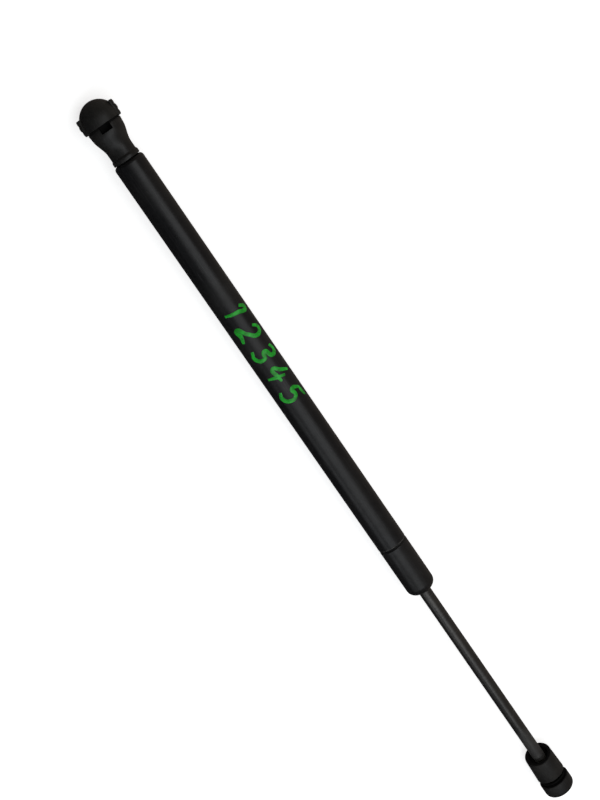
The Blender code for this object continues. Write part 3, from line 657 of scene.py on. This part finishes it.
def moulded_nylon(name, roughness, dustiness, tint, shaded_recesses):
    """Black nylon: its grain breaks up the shine, dust settles in it, and its recesses are blackened as
    painted shade.

    Recesses are given as (start, end, radius), in metres along the strut and from its axis.
    """
    made, n, shader = new_material(name, Specular_IOR_Level=0.30)
    dusty = n.effect(dust, "Mask", Amount=dustiness, Patch_size=0.009)
    scuffed = n.effect(scratches, "Mask", Amount=0.6, Fineness=2200.0)
    tone = n.effect(grain, "Tone", Grain=nylon_grain)
    base = n.mix(n.ramp(tone, 0.35, 0.7), nylon_black, tint)
    base = n.mix(n.maths("MULTIPLY", dusty, 0.55), base, nylon_dust)
    base = n.mix(n.maths("MULTIPLY", scuffed, 0.45), base, nylon_scuff)
    masks = []
    for start, end, radius in shaded_recesses:
        place = {"Start": start, "End": end, "Radius": radius, "Axis_height": axis_z}
        masks.append(n.effect(painted_recess_shade, "Mask", **place))
    # Painted shade: the recesses are mixed to near black and made matte.
    painted_shade = n.maths("MAXIMUM", masks[0], masks[-1])
    base = n.mix(painted_shade, base, painted_shade_black)
    rough = n.ramp(tone, 0.3, 0.7, roughness - 0.05, roughness + 0.05)
    rough = n.maths("ADD", rough, n.maths("MULTIPLY", dusty, 0.18))
    rough = n.maths("MAXIMUM", rough, n.maths("MULTIPLY", painted_shade, 0.95))
    relief = n.bump(n.effect(grain, "Height", Grain=nylon_grain), 0.35, 0.00007)
    feed(shader, Base_Color=base, Roughness=rough, Normal=relief)
    return made


neck = make_neck()
# Painted shade: places blackened under the cap's edge and in the pry slot.
under_cap = (tube_ball_x - 0.0100, tube_ball_x + 0.0042, 0.0103)
in_pry_slot = (tube_ball_x + 0.0040, tube_ball_x + 0.0077, 0.0096)
neck_finish = moulded_nylon(
    "neck_nylon", roughness=0.40, dustiness=0.5, tint=neck_tint, shaded_recesses=[under_cap, in_pry_slot]
)
neck.data.materials.append(neck_finish)


# ---------------------------------------------------------------- release cap
# Domed nylon cap pushed over the ball housing. Three ridges on each side give the fingers a grip when it is
# pulled off, and a notch underneath clears the socket's rim.
cap_proud = 0.0004
cap_radius = tube_ball_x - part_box("tube_end_cap")[0].x + cap_proud
cap_wall = 0.0023
grip_spread = math.radians(26)
grip_start = -0.0060
grip_end = skirt_reach + 0.0010
grip_peak = 0.00110
grip_low = 0.00080
grip_root = 0.0010
grip_skin = 0.0002
grip_drop = 0.00042
grip_lean = 0.35
grip_flat = 0.72
cap_tint = (0.0135, 0.0135, 0.0125, 1)


def cap_profile():
    """From the dome's middle outwards to the skirt's rounded edge, and back along the inside."""
    x, edge, inner = tube_ball_x, moulded_edge, cap_radius - cap_wall
    outside = [(x - cap_radius, 0)] + arc((x, 0), cap_radius, 180, 90, 28)[1:]
    outside += evenly((x, cap_radius), (x + skirt_reach - edge, cap_radius), step=0.002)
    outside += arc((x + skirt_reach - edge, cap_radius - edge), edge, 90, 0, 3)
    inside = [(x + skirt_reach, inner)] + arc((x, 0), inner, 90, 180, 16)[:-1]
    return outside + inside + [(x - inner, 0)]


def grip_profile():
    """Side view of a grip: three rounded ridges, the middle one the highest, with valleys between them."""
    sunk = cap_radius - grip_root
    pitch = (grip_end - grip_start) / 3
    profile = []
    for i, rise in enumerate((grip_low, grip_peak, grip_low)):
        crest, height = grip_start + pitch * (i + 0.5), cap_radius + rise
        for share in (-0.86, -0.62, -0.3, 0, 0.3, 0.62, 0.86):
            drop = grip_drop * abs(share) ** 3
            lean = (grip_peak - grip_low) * grip_lean * share * (1 - i)
            profile.append((crest + pitch / 2 * share, height - drop + lean))
    turn = 90 + math.degrees(math.asin(-grip_start / sunk))
    profile += [(grip_end, sunk)] + arc((0, 0), sunk, 90, turn, 8)
    return [(tube_ball_x + along, out) for along, out in profile]


def grips_tool():
    """The ridges swept part of the way round each side of the cap, with their ends rounded down into it."""
    bm = bmesh.new()
    for side in (-1, 1):
        loop = [bm.verts.new((x, 0, out)) for x, out in grip_profile()]
        start = Matrix.Rotation(side * math.pi / 2 - grip_spread, 3, "X")
        bmesh.ops.rotate(bm, verts=loop, cent=(0, 0, 0), matrix=start)
        face = bm.faces.new(loop)
        bmesh.ops.spin(
            bm, geom=[face], cent=(0, 0, 0), axis=(1, 0, 0), angle=2 * grip_spread, steps=24, use_merge=False
        )
    for corner in bm.verts:
        out = math.hypot(corner.co.y, corner.co.z)
        off = abs(math.asin(corner.co.z / out)) / grip_spread
        proud = max(0.0, out - (cap_radius - grip_skin))
        sunk = 1 - proud * max(0.0, (off - grip_flat) / (1 - grip_flat)) ** 2 / out
        corner.co.y *= sunk
        corner.co.z *= sunk
    bmesh.ops.translate(bm, verts=bm.verts, vec=(0, 0, axis_z))
    bmesh.ops.recalc_face_normals(bm, faces=bm.faces)
    return bm


def make_cap():
    """The dome with its grips, and a notch for the rim, open towards the neck so that the cap slides off."""
    piece = shown("domed_release_cap", spun(cap_profile(), housing_sides, hollow=False), node="tube_end_cap")
    combine(piece, "UNION", grips_tool())
    notch, past = rim_radius + gap, cap_radius + cutter_past
    opening = [(0, 0), (0, notch), (past, notch), (past, 0)]
    combine(piece, "DIFFERENCE", facing_down(spun(opening, mouth_sides, hollow=False), tube_ball_x))
    low = (tube_ball_x, -notch, axis_z - past)
    combine(piece, "DIFFERENCE", block(low, (tube_ball_x + skirt_reach + cutter_past, notch, axis_z)))
    return smooth(piece)


cap = make_cap()
# Painted shade: a band blackened inside the skirt's edge.
in_skirt = (tube_ball_x + 0.0024, tube_ball_x + 0.0035, cap_radius - 0.0008)
cap_finish = moulded_nylon("cap_nylon", roughness=0.44, dustiness=0.55, tint=cap_tint, shaded_recesses=[in_skirt])
cap.data.materials.append(cap_finish)


# ---------------------------------------------------------------- ball socket of the rod's end
# A round nylon moulding, threaded on the rod at the bottom of a shallow pocket. Its face leans back towards
# the top, and it widens a little towards the clip's groove and ends in a rounded head. Its mouth faces down.
rod_ball_x = ball_centre("rod_end_ball_seat")
face_reach = 0.0213
face_radius = 0.0089
face_round = 0.0005
rod_pocket_radius = 0.0066
rod_pocket_depth = 0.0030
body_radius = 0.0095
head_reach = 0.0115
head_radius = 0.0100
head_round = 0.0034
head_flat = 0.9
face_slant = 0.0024
face_slant_end = 0.0070
face_slant_height = 0.0088
socket_thread_end = 0.0087
socket_groove_half = 0.0020
socket_groove_shift = 0.0004
socket_tint = (0.0120, 0.0110, 0.0100, 1)


def rod_socket_profile():
    """From the pocket's floor over the face's rounded edge and past the clip's groove to the head."""
    face, head, edge = rod_ball_x - face_reach, rod_ball_x + head_reach, moulded_edge
    floor, groove = face + rod_pocket_depth, rod_ball_x - socket_groove_shift
    head_middle = head_radius - head_round
    profile = [(floor, 0), (floor, rod_pocket_radius)]
    profile += arc((face + edge, rod_pocket_radius + edge), edge, 270, 180, 3)
    profile += arc((face + face_round, face_radius - face_round), face_round, 180, 90, 8)
    profile += arc((groove - socket_groove_half - edge, body_radius - edge), edge, 90, 0, 3)
    profile += arc((groove + socket_groove_half + edge, head_radius - edge), edge, 180, 90, 3)
    profile += arc((head - head_round, head_middle), head_round, 90, 12, 12)
    return profile + [(head, head_middle * head_flat), (head, 0)]


def slant_face(mesh):
    """Leans the face on the rod back towards its top, and less and less further into the body."""
    near, far = rod_ball_x - face_reach, rod_ball_x - face_slant_end
    for corner in mesh.vertices:
        share = min(1.0, max(0.0, (far - corner.co.x) / (far - near)))
        high = (corner.co.z - axis_z) / face_slant_height
        corner.co.x += share * face_slant * (1 + high)


def make_rod_socket():
    """The turned shape with its ball housing, its face leant back last."""
    turned = spun(rod_socket_profile(), housing_sides, hollow=False)
    piece = shown("rod_ball_socket", turned, node="rod_end_socket")
    groove = groove_tool(rod_ball_x - socket_groove_shift, socket_groove_half)
    ball_housing(piece, rod_ball_x, rod_ball_x - face_reach - gap, rod_ball_x - socket_thread_end, groove)
    slant_face(piece.data)
    return smooth(piece)


rod_socket = make_rod_socket()
# Painted shade: places blackened in the wire's groove and in the pocket round the rod.
wire_groove = (rod_ball_x - 0.0028, rod_ball_x + 0.0020, 0.0092)
rod_pocket = (rod_ball_x - 0.0225, rod_ball_x - 0.0140, 0.0084)
socket_finish = moulded_nylon(
    "socket_nylon", roughness=0.52, dustiness=0.6, tint=socket_tint, shaded_recesses=[wire_groove, rod_pocket]
)
rod_socket.data.materials.append(socket_finish)


# ---------------------------------------------------------------- retaining clips
# Spring wire bent round each housing, its two legs hooked in under the ball. Its colour is kept nearly black
# as painted shade of the groove it lies in, with a dull shine along the wire.
clip_wire = 0.0008
clip_radius = groove_radius + gap + clip_wire
clip_knee_tuck = 0.00045
clip_bend = ((0, 0.00022), (0.0004, 0.00004), (0.0009, 0))
clip_tip = 0.0038
clip_tip_length = 0.0003
clip_tip_thin = 0.6
clip_steps = 60
wire_shaded_black = (0.002, 0.002, 0.002, 1)
wire_shaded_brown = (0.006, 0.006, 0.0055, 1)
wire_dust = (0.05, 0.045, 0.04, 1)


def make_clip(name, node, x):
    """A hoop of wire over the top and both sides, then a leg that turns in through each of the two slots."""
    knee = clip_radius * math.sin(clip_sweep) - clip_knee_tuck
    turns = [clip_sweep * (2 * i / clip_steps - 1) for i in range(clip_steps + 1)]
    hoop = [(clip_radius * math.sin(a), clip_radius * math.cos(a)) for a in turns]
    leg = [(knee - inwards, -clip_leg_depth + up) for inwards, up in clip_bend]
    leg += [(clip_tip + clip_tip_length, -clip_leg_depth), (clip_tip, -clip_leg_depth)]
    route = [(-y, z) for y, z in leg[::-1]] + hoop + leg
    curve = bpy.data.curves.new(name, "CURVE")
    curve.dimensions = "3D"
    curve.bevel_depth = clip_wire
    curve.bevel_resolution = 5
    curve.use_fill_caps = True
    wire = curve.splines.new("POLY")
    wire.points.add(len(route) - 1)
    for point, (y, z) in zip(wire.points, route):
        point.co = (x, y, axis_z + z, 1)
        point.radius = 1
    wire.points[0].radius = wire.points[-1].radius = clip_tip_thin
    return smooth(shown(name, swept(curve, weld), node=node), angle=50)


def spring_wire():
    """Wire painted nearly black as painted shade, under an uneven film of oil, with a little dust stuck to
    it.
    """
    made, n, shader = new_material("shade_darkened_spring_wire", Specular_IOR_Level=0.06)
    oil = n.noise(n.place(), 420.0, 5.0, 0.6)
    dusty = n.effect(dust, "Mask", Amount=0.5, Patch_size=0.004)
    # Painted shade: both tones of the wire are near black, so that it reads as the shade in the groove.
    base = n.mix(n.ramp(oil, 0.3, 0.7), wire_shaded_black, wire_shaded_brown)
    base = n.mix(n.maths("MULTIPLY", dusty, 0.15), base, wire_dust)
    rough = n.ramp(oil, 0.3, 0.7, 0.60, 0.80)
    relief = n.bump(n.noise(n.place(), 3000.0), 0.15, 0.00005)
    feed(shader, Base_Color=base, Roughness=rough, Normal=relief)
    return made


wire_finish = spring_wire()
for clip_name, clip_node, clip_x in (
    ("tube_end_wire_clip", "tube_end_clip", tube_ball_x),
    ("rod_end_wire_clip", "rod_end_clip", rod_ball_x),
):
    make_clip(clip_name, clip_node, clip_x).data.materials.append(wire_finish)


# ---------------------------------------------------------------- piston rod
# Ground steel, nitrided black and polished, so it shines in fine rings round the rod. The last stretch before
# the socket never enters the seal: it has stayed dull, with dried oil and dust on it.
dull_start = rod_ball_x - 0.0410
rod_thread_reach = 0.0180
rod_thread_pitch = 0.00125
rod_thread_depth = 0.0006
thread_root_share = 0.38
thread_crest_share = 0.06
rod_spigot = 0.0025
rivet_radius = 0.0036
rivet_length = 0.0016
rivet_round = 0.0008
rod_bevel = 0.0003
rod_sides = 96
rod_dark = (0.050, 0.049, 0.049, 1)
rod_pale = (0.070, 0.067, 0.063, 1)
rod_streak = (0.13, 0.125, 0.12, 1)
rod_crust = (0.030, 0.029, 0.028, 1)
rod_dust = (0.09, 0.085, 0.078, 1)


def rod_profile():
    """The rod's own outline, from the riveted head over the piston to the thread in the socket."""
    start, end, bevel = rod_low.x, rod_high.x, rod_bevel
    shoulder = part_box("stop_washer")[1].x + gap
    thread_start = rod_ball_x - rod_thread_reach - gap
    rivet_end, rivet_middle = start + rivet_length, rivet_radius - rivet_round
    profile = [(start, 0), (start, rivet_middle)]
    profile += arc((start + rivet_round, rivet_middle), rivet_round, 180, 90, 4)[1:]
    profile += [(rivet_end, rivet_radius), (rivet_end, rod_spigot), (shoulder, rod_spigot)]
    profile += [(shoulder, rod_radius - bevel), (shoulder + bevel, rod_radius)]
    profile += evenly((shoulder + bevel, rod_radius), (thread_start - bevel, rod_radius), step=0.01)
    profile += [(thread_start - bevel, rod_radius), (thread_start, rod_radius - bevel)]
    pitch, root = rod_thread_pitch, rod_radius - rod_thread_depth
    crest = thread_start + pitch / 2
    while crest + pitch / 2 < end:
        wide, narrow = pitch * thread_root_share, pitch * thread_crest_share
        profile += [(crest - wide, root), (crest - narrow, rod_radius)]
        profile += [(crest + narrow, rod_radius), (crest + wide, root)]
        crest += pitch
    return profile + [(end, root), (end, 0)]


def ground_steel():
    """Dark nitrided steel with its grinding rings. Towards the socket it is dull and crusted."""
    made, n, shader = new_material("nitrided_rod", Specular_IOR_Level=0.5)
    rings = n.noise(n.place(scale=(1, 0.03, 0.03)), 5200.0, 2.0, 0.5)
    coarse = n.noise(n.place(scale=(1, 0.08, 0.08)), 900.0, 3.0, 0.6)
    cloud = n.noise(n.place(), 85.0, 4.0, 0.6)
    along = n.add("ShaderNodeSeparateXYZ", 0, Vector=n.add("ShaderNodeTexCoord", "Object"))
    ragged = n.maths("ADD", along, n.ramp(cloud, 0.3, 0.7, -0.003, 0.003))
    dull = n.ramp(ragged, dull_start - 0.002, dull_start + 0.004)
    dusty = n.effect(dust, "Mask", Amount=0.4, Patch_size=0.012)
    crust = n.ramp(n.noise(n.place(), 1400.0, 4.0, 0.65), 0.40, 0.72)
    base = n.mix(n.ramp(cloud, 0.3, 0.7), rod_dark, rod_pale)
    base = n.mix(n.ramp(coarse, 0.56, 0.7, 0.0, 0.4), base, rod_streak)
    base = n.mix(n.maths("MULTIPLY", dull, n.ramp(crust, 0, 1, 0.35, 0.95)), base, rod_crust)
    base = n.mix(n.maths("MULTIPLY", dusty, 0.5), base, rod_dust)
    metal = n.ramp(dull, 0.0, 1.0, 0.80, 0.30)
    rough = n.maths("ADD", n.ramp(rings, 0.3, 0.7, 0.28, 0.40), n.maths("MULTIPLY", dull, 0.18))
    relief = n.bump(rings, 0.10, 0.00004, n.bump(n.maths("MULTIPLY", crust, dull), 0.5, 0.00012))
    feed(shader, Base_Color=base, Metallic=metal, Roughness=rough, Normal=relief)
    return made


rod = smooth(shown("ground_piston_rod", spun(rod_profile(), rod_sides, hollow=False), node="piston_rod"))
rod.data.materials.append(ground_steel())


# ---------------------------------------------------------------- guide, seals and piston inside the tube
# Turned, sintered and moulded pieces, stacked in the tube before its end is rolled in. They only show when
# the strut is cut open, apart from the wiper's lip and the guide's nose round the rod. They keep their own
# solids and get the finish of their stock.
def stock_finish(name, light, dark, metallic, roughness, lathe_lines=0.0):
    """A finish for stock: cloudy between two tones, with turning marks round the axis where it was turned."""
    made, n, shader = new_material(name)
    cloud = n.noise(n.place(), 260.0, 5.0, 0.6)
    lines = n.noise(n.place(scale=(1, 0.04, 0.04)), 4200.0, 2.0, 0.5)
    fine = n.noise(n.place(), 3200.0, 3.0, 0.6)
    base = n.mix(n.ramp(cloud, 0.3, 0.7), dark, light)
    base = n.mix(n.ramp(lines, 0.55, 0.72, 0.0, 0.5 * lathe_lines), base, dark)
    rough = n.ramp(fine, 0.3, 0.7, roughness - 0.06, roughness + 0.08)
    relief = n.bump(fine, 0.2, 0.00005, n.bump(lines, 0.25 * lathe_lines, 0.00006))
    shader.inputs["Metallic"].default_value = metallic
    feed(shader, Base_Color=base, Roughness=rough, Normal=relief)
    return made


steel = stock_finish(
    "turned_steel", (0.50, 0.49, 0.47, 1), (0.33, 0.32, 0.31, 1),
    metallic=1.0, roughness=0.36, lathe_lines=1.0,
)
rubber = stock_finish(
    "nitrile_rubber", (0.020, 0.020, 0.019, 1), (0.010, 0.010, 0.010, 1),
    metallic=0.0, roughness=0.68,
)
bush = stock_finish(
    "sintered_bronze", (0.52, 0.33, 0.15, 1), (0.33, 0.20, 0.09, 1),
    metallic=0.9, roughness=0.50, lathe_lines=0.4,
)
plastic = stock_finish(
    "natural_acetal", (0.78, 0.76, 0.70, 1), (0.68, 0.65, 0.58, 1),
    metallic=0.0, roughness=0.45, lathe_lines=0.3,
)
alloy = stock_finish(
    "cast_alloy", (0.62, 0.62, 0.63, 1), (0.46, 0.46, 0.47, 1),
    metallic=1.0, roughness=0.42, lathe_lines=0.8,
)
stock = {
    steel: ("base_stud", "end_plug", "support_washer", "stop_washer", "rivet_washer"),
    rubber: ("plug_o_ring", "rod_seal", "wiper_ring"),
    bush: ("rod_guide",),
    plastic: ("backing_washer", "spacer_sleeve", "piston_ring"),
    alloy: ("piston",),
}
for finish, members in stock.items():
    for member in members:
        frame["nodes"][member].data.materials.clear()
        frame["nodes"][member].data.materials.append(finish)


# ---------------------------------------------------------------- floor, light and camera
# A plain pale floor that glows a little, so that it stays even. A large softbox hangs over the strut, a small
# panel stands to one side, and the room round them is dim and warm. The camera stands over the tube's end,
# tilted towards the rod's end.
floor_half = 3.0
floor_pale = (0.93, 0.93, 0.93, 1)
floor_glow = 0.7
lamp_white = (0.93, 0.97, 1.0)
room_dark = (0.030, 0.029, 0.028, 1)
room_light = (0.24, 0.205, 0.175, 1)
backdrop = (0.95, 0.95, 0.95, 1)
camera_lens = 60.3
camera_height = 0.762
camera_tilt = math.radians(15.07)
camera_past_head = 0.0086
camera_aside = 0.0033
strut_turn = math.radians(55.46)


def make_floor():
    """A wide flat sheet. Gloss doesn't mirror it, because it would wash out the black pieces."""
    bm = bmesh.new()
    bmesh.ops.create_grid(bm, x_segments=8, y_segments=8, size=floor_half)
    floor = shown("floor", bm)
    floor.visible_glossy = False
    finish = {"Base_Color": floor_pale, "Emission_Color": (1, 1, 1, 1), "Emission_Strength": floor_glow}
    made = new_material("pale_floor", Roughness=0.7, Specular_IOR_Level=0.2, **finish)[0]
    floor.data.materials.append(made)


def make_light(name, size, power, at, turn):
    """A rectangular area light that faces down until it is turned, in degrees."""
    lamp = bpy.data.lights.new(name, "AREA")
    lamp.shape, lamp.size, lamp.size_y, lamp.energy = "RECTANGLE", size[0], size[1], power
    lamp.color = lamp_white
    placed = bpy.data.objects.new(name, lamp)
    bpy.context.scene.collection.objects.link(placed)
    placed.location = at
    placed.rotation_euler = [math.radians(a) for a in turn]


def make_world():
    """A dim, warm room, a little lighter on one side, which shows as a pale backdrop behind the floor."""
    world = bpy.data.worlds.new("studio")
    bpy.context.scene.world = world
    world.use_nodes = True
    n = Nodes(world.node_tree)
    seen = n.add("ShaderNodeLightPath", "Is Camera Ray")
    side = n.add("ShaderNodeSeparateXYZ", 1, Vector=n.add("ShaderNodeTexCoord", "Generated"))
    room = n.mix(n.ramp(side, -0.4, 0.9), room_dark, room_light)
    room = n.mix(seen, room, backdrop)
    world.node_tree.links.new(room, world.node_tree.nodes["Background"].inputs["Color"])


def make_camera():
    """Looks down past the tube's end, turned so that the strut crosses the frame from corner to corner."""
    camera = bpy.data.objects.new("camera", bpy.data.cameras.new("camera"))
    bpy.context.scene.collection.objects.link(camera)
    camera.data.lens = camera_lens
    along = Vector((math.cos(camera_tilt), 0, math.sin(camera_tilt)))
    back = Vector((-math.sin(camera_tilt), 0, math.cos(camera_tilt)))
    across = Vector((0, 1, 0))
    right = along * math.cos(strut_turn) + across * math.sin(strut_turn)
    up = -along * math.sin(strut_turn) + across * math.cos(strut_turn)
    turned = Matrix((right, up, back)).transposed().to_4x4()
    at = (tube_ball_x - camera_past_head, camera_aside, axis_z + camera_height)
    camera.matrix_world = Matrix.Translation(at) @ turned
    bpy.context.scene.camera = camera


make_floor()
make_light("softbox", size=(2.2, 0.85), power=10.6, at=(0.28, 0.19, 1.30), turn=(0, 0, -58))
make_light("side_panel", size=(0.4, 0.6), power=1.3, at=(0.47, -1.00, 0.75), turn=(55, 0, 22))
make_world()
make_camera()
bpy.context.scene.view_settings.view_transform = "Standard"
